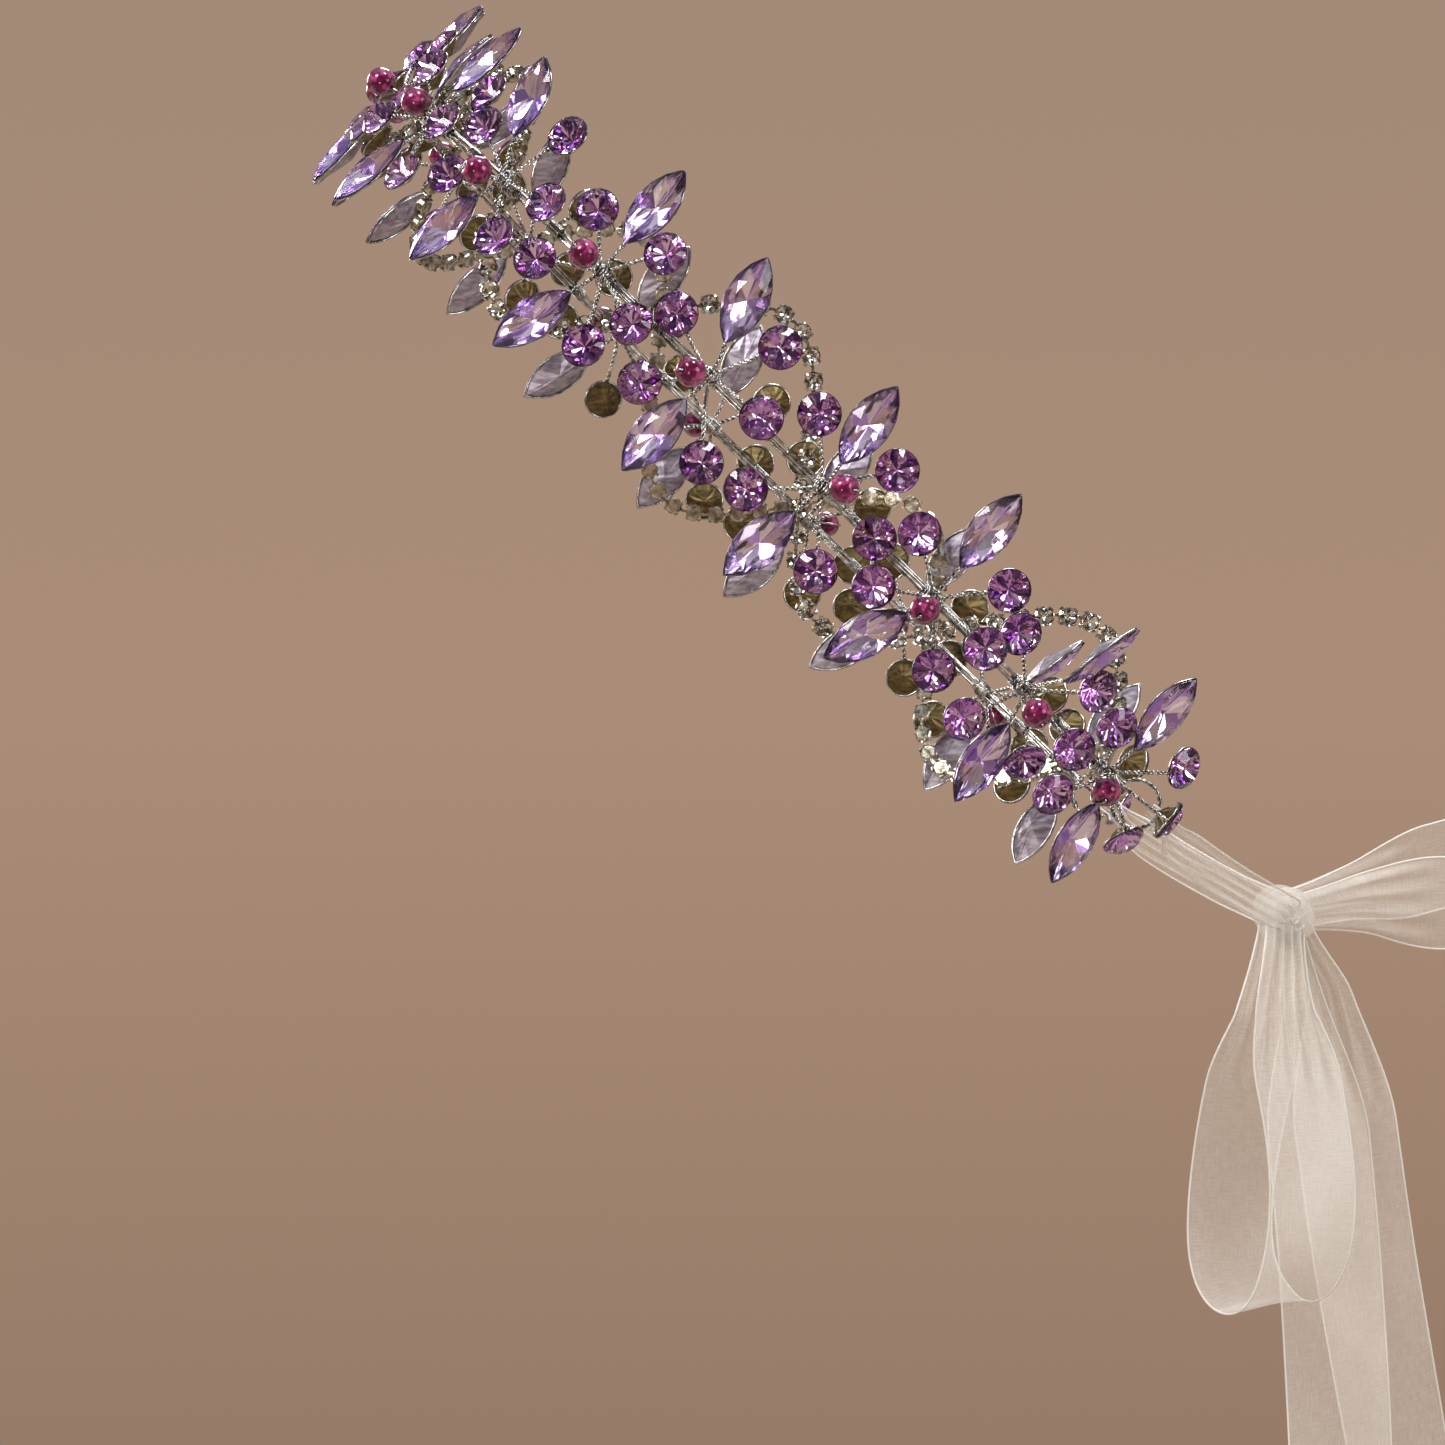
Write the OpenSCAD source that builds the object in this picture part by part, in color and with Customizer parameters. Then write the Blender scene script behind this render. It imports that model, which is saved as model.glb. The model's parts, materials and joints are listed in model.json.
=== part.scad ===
// Wired rhinestone hair vine, worn as a bridal tiara and tied behind with an organza ribbon bow.
// +Z is up, +X the wearer's left, -Y the front of the head. The origin is the centre of the head loop.

/* [Head loop] */
// How far the plane of the loop leans back from level, in degrees
band_tilt = 44.5; // [30:0.5:60]
// Half the width of the head, side to side
head_half_w = 74; // [68:0.5:80]
// From the widest place of the loop to the forehead
head_front = 73; // [66:0.5:80]
// From the widest place of the loop to the nape
head_back = 96; // [88:0.5:104]
// How far the widest place lies in front of the origin
widest_at = 15; // [5:0.5:20]
// Squareness of the front half; 2 is an ellipse
front_square = 2.35; // [2:0.05:3]

/* [Spine] */
// Wires side by side in the spine
spine_wires_n = 5; // [4:1:6]
// Radius of one spine wire
spine_wire_r = 0.22; // [0.15:0.01:0.25]
// Radius of the ring on which the wires lie
spine_ring_r = 0.45; // [0.4:0.01:0.5]
// Height of the spine above the head
spine_z = 2.2; // [2:0.1:3]

/* [Flowers] */
// Gaps along the spine from the middle flower to the end one
flower_gaps = [23, 22, 20, 21, 20, 21, 21, 18, 18];
// Height of a flower's hub above the head
hub_z = 4.4; // [4:0.1:6]
// How far a stone's girdle sits above its hub
stone_rise = 0.8; // [0.4:0.1:2]
// Radius of a stem, which is a twisted pair of wires
stem_r = 0.28; // [0.2:0.01:0.3]
// Radius of the ball of wound wire at a hub
hub_r = 1.4; // [1.2:0.05:1.45]

/* [Stones] */
// Diameter of a round stone
round_d = 6; // [5:0.1:6.4]
// Length of a pointed oval stone
navette_l = 13; // [11:0.1:13.5]
// Width of a pointed oval stone
navette_w = 6; // [5:0.1:6.4]
// Diameter of a hub bead
bead_d = 4.2; // [3.5:0.1:4.6]

/* [Cup chain] */
// Distance from cup to cup
cup_pitch = 3.5; // [3.2:0.05:4]
// Outer diameter of one cup
cup_d = 2.5; // [2.2:0.05:2.8]
// Height of the chain's wave to each side of the spine
wave_h = 13.5; // [10:0.5:15]
// Length of half a wave along the spine
wave_half = 31; // [28:0.5:34]

/* [Ribbon] */
// Width of the ribbon laid flat
ribbon_w = 15; // [12:0.5:18]
// Thickness that a stretch of ribbon is given
ribbon_t = 0.6; // [0.4:0.1:0.8]
// Width of an arm, where the ribbon is gathered
arm_w = 7.5; // [6:0.5:9]
// Length of each bow loop
loop_l = 56; // [45:1:65]
// How far a bow loop's two sides stand apart
loop_gap = 13; // [8:1:16]
// Length of each tail below the knot
tail_l = 165; // [120:5:200]

/* [Hidden] */
FLOWERS = 2 * len(flower_gaps) + 1;
MIDDLE = len(flower_gaps) + 1;
function two(k) = str(k < 10 ? "0" : "", k);

silver = [0.80, 0.80, 0.82];
amethyst = [0.45, 0.17, 0.62];
lavender = [0.68, 0.50, 0.86, 0.85];
magenta = [0.72, 0.18, 0.52, 0.85];
ivory = [0.93, 0.89, 0.82, 0.7];

// Each flower's stems as they were bent, from the middle flower outwards. A row is one flower, and an
// entry one stone: [turn, reach, rise, lean, roll]. Turn is clockwise from the spine's outward end,
// reach the distance from the hub, rise a height over the rest, lean the face's tip away from the hub,
// and roll its turn about the stem. The first and fifth stones are the pointed ovals.
BENDS = [
    [[-95, 11.5], [-55, 10], [0, 9.5, 1], [50, 10.5], [95, 11.5], [135, 10, 1], [-145, 9.5]],
    [[-100, 11], [-60, 10, 1], [5, 9.5], [45, 10.5, 1], [90, 11.5], [140, 10], [-140, 9, 1]],
    [[-85, 11, 1], [-50, 10], [0, 10, 3.6], [58, 10.5, 0.5], [102, 12, 0.5], [148, 10, 2.5], [-145, 8.5, 3]],
    [[-120, 12.5, 1], [-72, 11], [-10, 9.5], [45, 9.5], [92, 10.5, 1], [150, 9.5], [-160, 10.5]],
    [[-95, 11.5], [-55, 9.5, 1], [15, 9, 0], [55, 11, 1], [102, 11.5], [148, 9.5, 1], [-140, 9]],
    [[-108, 11.5], [-65, 10.5, 0.5], [-5, 9.5, 1.5], [50, 12], [87, 11, 1.5], [130, 9.5], [-162, 9.5, 1]],
    [[-98, 10.5, 1.5], [-57, 10.5], [0, 10], [50, 11.5], [94, 11.5, 0.5], [134, 10.5], [-137, 10]],
    [[-95, 12], [-50, 10.5], [0, 9.5, 2.5], [45, 10], [108, 10.8, 0.2], [148, 9, 1.5], [-150, 9.5, 1.5]],
    [[-75, 11, 4, 10, 60], [-42, 10.5, 0.5, 15], [6, 10.5, 2.5], [43, 10.5, 0, 25], [79, 11.5, 1.5],
     [112, 9.5], [-145, 8.5, 1]],
    [[-95, 11.5, 1], [-48, 11, 1.5, 20], [-8, 10, 4, 60], [30, 10, 1.5, 40], [72, 10.5, 1],
     [128, 9.5, 2], [-142, 8.5, 3]]];

// ---- the head loop, as a curve in its own plane ----
PATH_STEPS = 360;
function path_at(a) = a <= 90
    ? [head_half_w * pow(sin(a), 2 / front_square),
       widest_at + head_front * pow(cos(a), 2 / front_square)]
    : [head_half_w * sin(a), widest_at + head_back * cos(a)];
PATH_TABLE = [for (i = 0, run = 0; i <= PATH_STEPS;
                   run = run + norm(path_at((i + 1) * 180 / PATH_STEPS) - path_at(i * 180 / PATH_STEPS)),
                   i = i + 1) [run, i * 180 / PATH_STEPS]];
function half_path(s) = path_at(lookup(s, PATH_TABLE));
// A point of the loop at distance s from the forehead's middle, positive to the wearer's left.
function loop_at(s) = let (p = half_path(abs(s))) [sign(s) * p[0], -p[1], 0];
function along(s) = let (d = loop_at(s + 0.4) - loop_at(s - 0.4)) d / norm(d);
function facing(s) = atan2(-along(s)[0], along(s)[1]);
function outward(s) = [along(s)[1], -along(s)[0], 0];

module lean_back() { rotate([-band_tilt, 0, 0]) children(); }

// Places its children on the head: x along the spine, y across it, z away from the head.
module on_loop(s) {
    lean_back() translate(loop_at(s)) rotate([0, 0, facing(s)]) rotate([90, 0, 90]) children();
}

// ---- helpers ----
module rod(p, q, r) {
    d = q - p;
    translate(p) rotate([0, acos(d[2] / norm(d)), atan2(d[1], d[0])])
        cylinder(h = norm(d), r = r, $fn = 36);
}

module tube_along_x(length, inner, outer) {
    rotate([0, 90, 0]) difference() {
        cylinder(h = length, r = outer, center = true, $fn = 32);
        cylinder(h = length + 1, r = inner, center = true, $fn = 32);
    }
}

CORNERS = [[1, 1], [-1, 1], [-1, -1], [1, -1]];
function circle_of(n) = [for (i = [0:n - 1]) [cos(i * 360 / n), sin(i * 360 / n)]];
// Sweeps a section along stations [point, width direction, thickness direction, half width, half
// thickness]; one closed solid.
module sweep(stations, section) {
    k = len(section);
    n = len(stations);
    points = [for (s = stations) for (c = section) s[0] + c[0] * s[3] * s[1] + c[1] * s[4] * s[2]];
    sides = [for (i = [0:n - 2]) for (j = [0:k - 1])
        let (a = i * k + j, b = i * k + (j + 1) % k)
        for (t = [[a, b, a + k], [b, b + k, a + k]]) t];
    first_cap = [for (j = [1:k - 2]) [0, j + 1, j]];
    last_cap = [for (j = [1:k - 2]) [(n - 1) * k, (n - 1) * k + j, (n - 1) * k + j + 1]];
    polyhedron(points, concat(sides, first_cap, last_cap));
}
function ease(x) = let (t = max(0, min(1, x))) t * t * (3 - 2 * t);
function unit(v) = v / norm(v);

// ---- the spine ----
reach_from_middle = [for (i = 0, run = 0; i < MIDDLE; run = run + (i < MIDDLE - 1 ? flower_gaps[i] : 0),
                          i = i + 1) run];
vine_half = reach_from_middle[MIDDLE - 1];
ferrule_s = vine_half + 4;
ring_s = vine_half + 9;
SPINE_RINGS = 62;

module spine_wires() {
    color(silver) lean_back() for (w = [0:spine_wires_n - 1]) {
        across = spine_ring_r * cos(w * 360 / spine_wires_n);
        height = spine_z + spine_ring_r * sin(w * 360 / spine_wires_n);
        sweep([for (i = [0:SPINE_RINGS])
            let (s = ferrule_s * (2 * i / SPINE_RINGS - 1))
            [loop_at(s) + outward(s) * height + [0, 0, across], [0, 0, 1], outward(s),
             spine_wire_r, spine_wire_r]], circle_of(6));
    }
}

bundle_r = spine_ring_r + spine_wire_r;
wrap_inner = bundle_r + 0.03;
wrap_outer = wrap_inner + 0.34;

module spine_binding() {
    color(silver) for (i = [0:MIDDLE - 2]) for (side = [-1, 1]) {
        s = side * (reach_from_middle[i] + reach_from_middle[i + 1]) / 2;
        on_loop(s) translate([0, 0, spine_z]) tube_along_x(2.4, wrap_inner, wrap_outer - 0.08);
    }
}

// ---- stones ----
girdle_h = 0.3;
crown_h = 1.2;
back_h = 2.1;
collar_t = 0.36;
collar_gap = 0.02;
round_r = round_d / 2;
navette_arc_r = (pow(navette_l, 2) + pow(navette_w, 2)) / (4 * navette_w);

module round_stone() {
    rotate_extrude($fn = 48) polygon([[0, -back_h], [0.5, -back_h], [round_r, -girdle_h / 2],
        [round_r, girdle_h / 2], [round_r * 0.55, crown_h], [0, crown_h]]);
}

function navette_edge(n, scale) = [for (i = [0:n - 1])
    let (a = i * 360 / n, side = a < 180 ? 1 : -1, x = cos(a) * navette_l / 2,
         y = sqrt(pow(navette_arc_r, 2) - x * x) - navette_arc_r + navette_w / 2)
    [x * scale, side * max(0, y) * scale]];

module navette() {
    n = 12;
    levels = [[-1.7, 0.3], [-0.15, 1], [0.15, 1], [1.3, 0.58]];
    points = [for (l = levels) for (p = navette_edge(n, l[1])) [p[0], p[1], l[0]]];
    top = (len(levels) - 1) * n;
    sides = [for (l = [0:len(levels) - 2]) for (j = [0:n - 1])
        let (a = l * n + j, b = l * n + (j + 1) % n)
        for (t = [[a, a + n, b], [b, a + n, b + n]]) t];
    polyhedron(points, concat(sides, [for (j = [1:n - 2]) [0, j, j + 1]],
                              [for (j = [1:n - 2]) [top, top + j + 1, top + j]]));
}

module round_collar() {
    difference() {
        cylinder(h = collar_t, r = round_r + collar_gap + collar_t, center = true, $fn = 48);
        cylinder(h = 1, r = round_r + collar_gap, center = true, $fn = 48);
    }
}

module pointed_oval(grow) {
    intersection_for (side = [-1, 1])
        translate([0, side * (navette_arc_r - navette_w / 2)]) circle(r = navette_arc_r + grow, $fn = 96);
}

module navette_collar() {
    linear_extrude(height = collar_t, center = true) difference() {
        pointed_oval(collar_gap + collar_t);
        pointed_oval(collar_gap);
    }
}

// ---- flowers ----
function bend(f, i) = let (b = BENDS[f][i])
    [b[0], b[1], hub_z + stone_rise + (b[2] == undef ? 0 : b[2]), b[3] == undef ? 0 : b[3],
     b[4] == undef ? 0 : b[4]];
function is_navette(i) = i == 0 || i == 4;
function collar_reach(i) = is_navette(i)
    ? sqrt(pow(navette_arc_r + collar_gap + collar_t / 2, 2) - pow(navette_arc_r - navette_w / 2, 2))
    : round_r + collar_gap + collar_t / 2;
function stone_at(b) = [b[1] * cos(b[0]), -b[1] * sin(b[0]), b[2]];
// Where the stem meets the collar, on the side nearest the hub.
function stem_end(b, back) = stone_at(b) + [-back * cos(b[3]) * cos(b[0]), back * cos(b[3]) * sin(b[0]),
                                            back * sin(b[3])];
// The bead's place beside the hub: [turn, reach], from the middle flower outwards.
BEAD_SEATS = [[150, 2.4], [160, 2.6], [175, 2.6], [135, 2.4], [180, 2.4], [140, 2.2], [-40, 2.8], [105, 2.2],
              [28, 2.7], [100, 2]];
bead_z = hub_z + 3.4;
bead_hole_r = 0.45;
pin_r = 0.35;
function bead_at(f) = [BEAD_SEATS[f][1] * cos(BEAD_SEATS[f][0]), -BEAD_SEATS[f][1] * sin(BEAD_SEATS[f][0]),
                       bead_z];

module stone_place(b) {
    translate(stone_at(b)) rotate([0, 0, -b[0]]) rotate([0, b[3], 0]) rotate([b[4], 0, 0]) children();
}

// Puts its children on flower k, 1 at the wearer's left end; the right half mirrors the left.
module on_flower(k) {
    f = abs(MIDDLE - k);
    mirror([k > MIDDLE ? 1 : 0, 0, 0]) on_loop(reach_from_middle[f]) children();
}

// A wire that leaves the hub's ball towards a point. It starts inside the ball, clear of the others.
module hub_rod(to, r) {
    hub = [0, 0, hub_z];
    rod(hub + (hub_r - 0.2) * unit(to - hub), to, r);
}

module flower_wire(k) {
    f = abs(MIDDLE - k);
    color(silver) on_flower(k) {
        translate([0, 0, spine_z]) tube_along_x(2.8, wrap_inner, wrap_outer);
        translate([0, 0, hub_z]) sphere(r = hub_r, $fn = 40);
        hub_rod(bead_at(f), pin_r);
        for (i = [0:6]) {
            hub_rod(stem_end(bend(f, i), collar_reach(i)), stem_r);
            stone_place(bend(f, i)) if (is_navette(i)) navette_collar(); else round_collar();
        }
    }
}

module flower_round_stones(k) {
    f = abs(MIDDLE - k);
    color(amethyst) on_flower(k) for (i = [0:6]) if (!is_navette(i)) stone_place(bend(f, i)) round_stone();
}

module navettes(from, to) {
    color(lavender) for (k = [from:to]) on_flower(k)
        for (i = [0, 4]) stone_place(bend(abs(MIDDLE - k), i)) navette();
}

module beads(from, to) {
    color(magenta) for (k = [from:to]) {
        f = abs(MIDDLE - k);
        hub = [0, 0, hub_z];
        on_flower(k) difference() {
            translate(bead_at(f)) sphere(d = bead_d, $fn = 40);
            rod(hub, bead_at(f) + 1.5 * (bead_at(f) - hub), bead_hole_r);
        }
    }
}

// ---- the cup chain, a wave that runs under the spine ----
cup_h = 1.5;
cup_z = 0.85;
cup_dip = 0.9;
across_r = 90;
chain_half = vine_half + 3;
CHAIN_STEPS = 240;
function wave(s) = -wave_h * sin(180 * s / wave_half);
CHAIN_TABLE = [for (i = 0, run = 0; i <= CHAIN_STEPS;
    run = run + norm([chain_half / CHAIN_STEPS,
                      wave((i + 1) * chain_half / CHAIN_STEPS) - wave(i * chain_half / CHAIN_STEPS)]),
    i = i + 1) [run, i * chain_half / CHAIN_STEPS]];
chain_run = CHAIN_TABLE[CHAIN_STEPS][0];
CUPS = floor(chain_run / cup_pitch);
function cup_s(i) = sign(i) * lookup(abs(i) * cup_pitch, CHAIN_TABLE);

// Places its children on the chain at distance s along the spine: x along the chain, z off the head.
module on_chain(s) {
    y = wave(s);
    slope = atan2(wave(s + 0.1) - wave(s - 0.1), 0.2);
    on_loop(s) translate([0, 0, -across_r]) rotate([-y / across_r * 180 / PI, 0, 0])
        translate([0, 0, across_r + cup_z - cup_dip * (1 - ease((abs(y) - 1.5) / 4))])
            rotate([0, 0, slope]) children();
}

module chain_cups() {
    color(silver) for (i = [-CUPS:CUPS]) on_chain(cup_s(i)) {
        rotate_extrude($fn = 32) polygon([[0, -cup_h / 2], [cup_d / 2, -cup_h / 2], [cup_d / 2, cup_h / 2],
            [cup_d / 2 - 0.25, cup_h / 2], [cup_d / 2 - 0.25, 0], [0, 0]]);
        translate([cup_d / 2 - 0.1, -0.3, -cup_h / 2 + 0.1]) cube([0.5, 0.6, 0.3]);
        translate([-cup_d / 2 - 0.4, -0.3, -cup_h / 2 + 0.1]) cube([0.5, 0.6, 0.3]);
    }
}

module chain_stones() {
    r = cup_d / 2 - 0.27;
    color("white") for (i = [-CUPS:CUPS]) on_chain(cup_s(i))
        rotate_extrude($fn = 32) polygon([[0, 0.02], [0.3, 0.02], [r, cup_h / 2 - 0.15],
            [r, cup_h / 2], [r * 0.6, cup_h / 2 + 0.35], [0, cup_h / 2 + 0.35]]);
}

// ---- end loops, which carry the ribbon ----
ring_r = 3.4;
ring_wire_r = 0.35;
ring_at = loop_at(ring_s) + outward(ring_s) * spine_z;

module end_loop() {
    tip = loop_at(ferrule_s + 0.6) + outward(ferrule_s + 0.6) * spine_z;
    color(silver) lean_back() {
        translate(loop_at(ferrule_s) + outward(ferrule_s) * spine_z) rotate([0, 0, facing(ferrule_s)])
            rotate([90, 0, 90]) difference() {
                translate([0.4, 0, 0]) rotate([0, 90, 0])
                    cylinder(h = 3, r = wrap_outer, center = true, $fn = 32);
                translate([-1.45, 0, 0]) rotate([0, 90, 0])
                    cylinder(h = 3, r = wrap_inner, center = true, $fn = 32);
            }
        rod(tip, ring_at + [0, -ring_r, 0], ring_wire_r - 0.05);
        translate(ring_at) rotate([0, 90, 0]) rotate_extrude($fn = 48)
            translate([ring_r, 0]) circle(r = ring_wire_r, $fn = 36);
    }
}

// ---- ribbon ----
arm_t = 1.6;
knot_r = 4.6;
knot_lift = 5.6;
knot_c = 85.4;
knot_at = [0, knot_c, knot_lift];
ARM_STEPS = 14;
stub_r = 1.15;
arm_start = ring_s + 3.5;
arm_run = PATH_TABLE[PATH_STEPS][0] - arm_start - knot_r - 0.5;
function arm_point(t) = let (s = arm_start + t * arm_run)
    loop_at(s) + outward(s) * (arm_t / 2 + 0.4 + (knot_c + widest_at - head_back - arm_t / 2 - 0.4) * ease(t))
    + [0, 0, knot_lift * ease(t)];
// The arm's middle line: through the end loop from outside, then round the nape to the knot.
ARM_LINE = concat([for (d = [2.6, 2.2, 1.4, 0.6, -0.8, -1.8]) ring_at + [d, 0, 0]],
                  [for (i = [0:ARM_STEPS]) arm_point(i / ARM_STEPS)]);
ARM_HALF_W = concat([1, 1.8, 1.7, stub_r, stub_r, 1.6],
                    [for (i = [0:ARM_STEPS]) 2.2 + (arm_w / 2 - 2.2) * ease(i / 4)
                        - 1.2 * ease((i - ARM_STEPS + 3) / 3)]);
ARM_HALF_T = concat([1, 1.8, 1.7, stub_r, stub_r, 1.1], [for (i = [0:ARM_STEPS]) arm_t / 2]);

module ribbon_arm() {
    n = len(ARM_LINE);
    color(ivory) lean_back() sweep([for (i = [0:n - 1])
        let (d = unit(ARM_LINE[min(n - 1, i + 1)] - ARM_LINE[max(0, i - 1)]),
             thick = unit(cross(d, [0, 0, 1])), wide = cross(thick, d))
        [ARM_LINE[i], wide, -thick, ARM_HALF_W[i], ARM_HALF_T[i]]], circle_of(10));
}

module ribbon_knot() {
    color(ivory) lean_back() translate(knot_at) rotate([0, 90, 0])
        rotate_extrude($fn = 48) polygon([for (i = [0:8]) let (a = -90 + i * 22.5)
            [i % 8 == 0 ? 0 : (knot_r - 0.1) * pow(cos(a), 0.8), 0.86 * knot_r * sin(a)]]);
}

module from_knot() { lean_back() translate(knot_at) rotate([band_tilt, 0, 0]) children(); }

LOOP_STEPS = 28;
// One bow loop: it leaves the knot along out, its sides stand apart along apart, and start is its root.
module bow_loop(start, out, apart) {
    wide = unit(cross(out, apart));
    color(ivory) from_knot() sweep([for (i = [0:LOOP_STEPS])
        let (a = 360 * i / LOOP_STEPS, far = loop_l * (1 - cos(a)) / 2,
             side = loop_gap / 2 * sin(a) * sin(a / 2) * 1.25 + 1.1 * cos(a / 2),
             slope_far = sin(a) * loop_l / 2,
             slope_side = loop_gap / 2 * 1.25 * (cos(a) * sin(a / 2) + sin(a) * cos(a / 2) / 2)
                 - 0.55 * sin(a / 2),
             d = unit(out * (slope_far + (i == 0 ? 1 : i == LOOP_STEPS ? -1 : 0)) + apart * slope_side))
        [start + out * far + apart * side, wide, cross(wide, d),
         1.8 + (ribbon_w / 2 - 1.8) * ease(far / 22), ribbon_t / 2]], CORNERS);
}

low_out = unit([0, -0.04, -1]);
low_apart = unit([0.89, 0.45, 0] - low_out * ([0.89, 0.45, 0] * low_out));
back_out = unit([-0.25, 0.96, 0.12]);
back_apart = unit([0.88, 0.28, -0.38] - back_out * ([0.88, 0.28, -0.38] * back_out));
module bow_loop_low() { bow_loop([6.1, -1.5, -5.2], unit(low_out + [0.14, 0, 0]),
    unit(low_apart - unit(low_out + [0.14, 0, 0]) * (low_apart * unit(low_out + [0.14, 0, 0])))); }
module bow_loop_back() { bow_loop([-7, 3.8, 1.5], back_out, back_apart); }

TAIL_STEPS = 22;
// One hanging tail in the plane x = start x: it leaves the knot at start, and drift is its slope to +Y.
module tail(start, drift, ripple) {
    color(ivory) from_knot() sweep([for (i = [0:TAIL_STEPS])
        let (t = i / TAIL_STEPS, down = t * tail_l)
        [start + [0, drift * tail_l * t + ripple * sin(t * 300), -down], unit([0, 1, drift]), [-1, 0, 0],
         2 + (ribbon_w / 2 - 0.4 - 2) * ease(down / 30), ribbon_t / 2]], CORNERS);
}
module ribbon_tail_left() { tail([-0.7, 2, -5.4], 0.07, 1.5); }
module ribbon_tail_right() { tail([-3, 6, -3.6], 0.16, -1.5); }

module right_side() { mirror([1, 0, 0]) children(); }

// ---- the nodes ----
SIDE = 6;
for (k = [1:FLOWERS]) {
    flower_wire(k);
    flower_round_stones(k);
}
navettes(1, SIDE);  // navettes_left
navettes(SIDE + 1, FLOWERS - SIDE);  // navettes_front
navettes(FLOWERS - SIDE + 1, FLOWERS);  // navettes_right
beads(1, SIDE);  // beads_left
beads(SIDE + 1, FLOWERS - SIDE);  // beads_front
beads(FLOWERS - SIDE + 1, FLOWERS);  // beads_right
spine_wires();
spine_binding();
chain_cups();
chain_stones();
end_loop();  // end_loop_left
right_side() end_loop();  // end_loop_right
ribbon_arm();  // ribbon_arm_left
right_side() ribbon_arm();  // ribbon_arm_right
ribbon_knot();
bow_loop_back();
bow_loop_low();
ribbon_tail_left();
ribbon_tail_right();
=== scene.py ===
"""The looks of a wired rhinestone hair vine that is tied behind the head with an organza ribbon bow.

Lengths are in millimetres, and Piece.build turns them into metres. Only the camera, the lights and the floor
are placed in metres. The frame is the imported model's: +Z is up, +X the wearer's left, -Y the head's front.
"""
import json
import math

import bpy
import numpy as np
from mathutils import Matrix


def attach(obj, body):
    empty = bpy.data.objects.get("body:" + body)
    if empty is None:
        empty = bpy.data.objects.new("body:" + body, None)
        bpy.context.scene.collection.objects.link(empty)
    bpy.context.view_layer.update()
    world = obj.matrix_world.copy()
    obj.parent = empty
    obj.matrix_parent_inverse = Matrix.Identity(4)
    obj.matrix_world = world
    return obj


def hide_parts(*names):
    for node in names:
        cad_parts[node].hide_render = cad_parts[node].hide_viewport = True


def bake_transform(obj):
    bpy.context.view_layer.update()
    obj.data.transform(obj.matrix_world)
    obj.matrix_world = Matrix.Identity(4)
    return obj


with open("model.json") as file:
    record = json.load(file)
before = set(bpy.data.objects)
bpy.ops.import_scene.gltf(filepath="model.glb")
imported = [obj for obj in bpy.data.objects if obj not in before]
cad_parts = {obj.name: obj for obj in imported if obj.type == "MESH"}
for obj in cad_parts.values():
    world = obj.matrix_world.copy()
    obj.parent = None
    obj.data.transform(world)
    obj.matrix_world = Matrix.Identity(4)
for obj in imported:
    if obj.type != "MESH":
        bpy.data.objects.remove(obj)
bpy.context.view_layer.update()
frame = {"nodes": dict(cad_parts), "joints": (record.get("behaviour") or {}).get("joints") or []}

MM = 0.001

# ---- the head loop and the flowers' places, as in the CAD model ----
BAND_TILT = math.radians(44.5)
# The loop is a half ellipse behind its widest place and a squarer curve in front of it, where 2 is an ellipse
HEAD_HALF_W, HEAD_FRONT, HEAD_BACK = 74, 73, 96
WIDEST_AT = 15
FRONT_SQUARE = 2.35
# Along the spine, from the middle flower to an end one
FLOWER_GAPS = [23, 22, 20, 21, 20, 21, 21, 18, 18]
SPINE_Z, HUB_Z = 2.2, 4.4
SPINE_RING_R, SPINE_WIRE_R = 0.45, 0.2
END_RING_R, END_WIRE_R = 3.4, 0.17
STATIONS = [sum(FLOWER_GAPS[:i]) for i in range(len(FLOWER_GAPS) + 1)]
MIDDLE = len(STATIONS)
FLOWERS = 2 * MIDDLE - 1
VINE_HALF = STATIONS[-1]
FERRULE_S, RING_S = VINE_HALF + 4, VINE_HALF + 9

# ---- stones ----
ROUND_R = 3.0
NAVETTE_L, NAVETTE_W = 13.0, 6.0
BEAD_R, BEAD_HOLE_R = 2.1, 0.4
GIRDLE_HALF_T = 0.13
# The size of the ring between the table and the girdle, as a share of the girdle's
STAR = 0.78
# The order of a stone's materials
GLASS, FOIL, LACQUER = 0, 1, 2

# ---- wires ----
FINE_R = 0.15
# Where the wire runs round a stone, from the girdle
ROUND_WIRE_Z, NAVETTE_WIRE_Z = -0.42, -0.45
STEM_WIRE_R = 0.165
TWIST_PITCH, END_TWIST_PITCH = 1.5, 1.7
WINDING_R = SPINE_RING_R + SPINE_WIRE_R + FINE_R

# ---- cup chain ----
CUP_PITCH, CUP_R, CRYSTAL_R = 3.5, 1.36, 1.3
WAVE_H, WAVE_HALF = 13.5, 31
# The chain lies on the head, which is round across the band, and dips to pass under the spine
ACROSS_R, CUP_Z, CUP_DIP = 90, 0.85, 0.9

# ---- ribbon ----
RIBBON_W = 15.0
SELVEDGE_R = 0.16
PLEATS, PLEAT_MAX = 4, 1.1
FACES_ACROSS = 40
LOW_LOOP_L, BACK_LOOP_L, LOOP_GAP = 51.5, 56.0, 13.0
TAIL_L, TAIL_SLANT = 165.0, 9.0

# ---- the picture: places in metres, the lens in millimetres ----
CAMERA_AT, CAMERA_LENS = (1.0, -0.0184, -0.0274), 168.3
FLOOR_Z = -0.236

joint_at = {j["name"]: np.array(j["pos_m"]) / MM for j in frame["joints"]}
KNOT = joint_at["low_loop_swing"]
END_LOOP_Y, END_LOOP_Z = joint_at["ribbon_lift"][1:]


def unit(v):
    v = np.asarray(v, float)
    return v / np.linalg.norm(v)


def ease(x):
    t = np.clip(x, 0, 1)
    return t * t * (3 - 2 * t)


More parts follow.
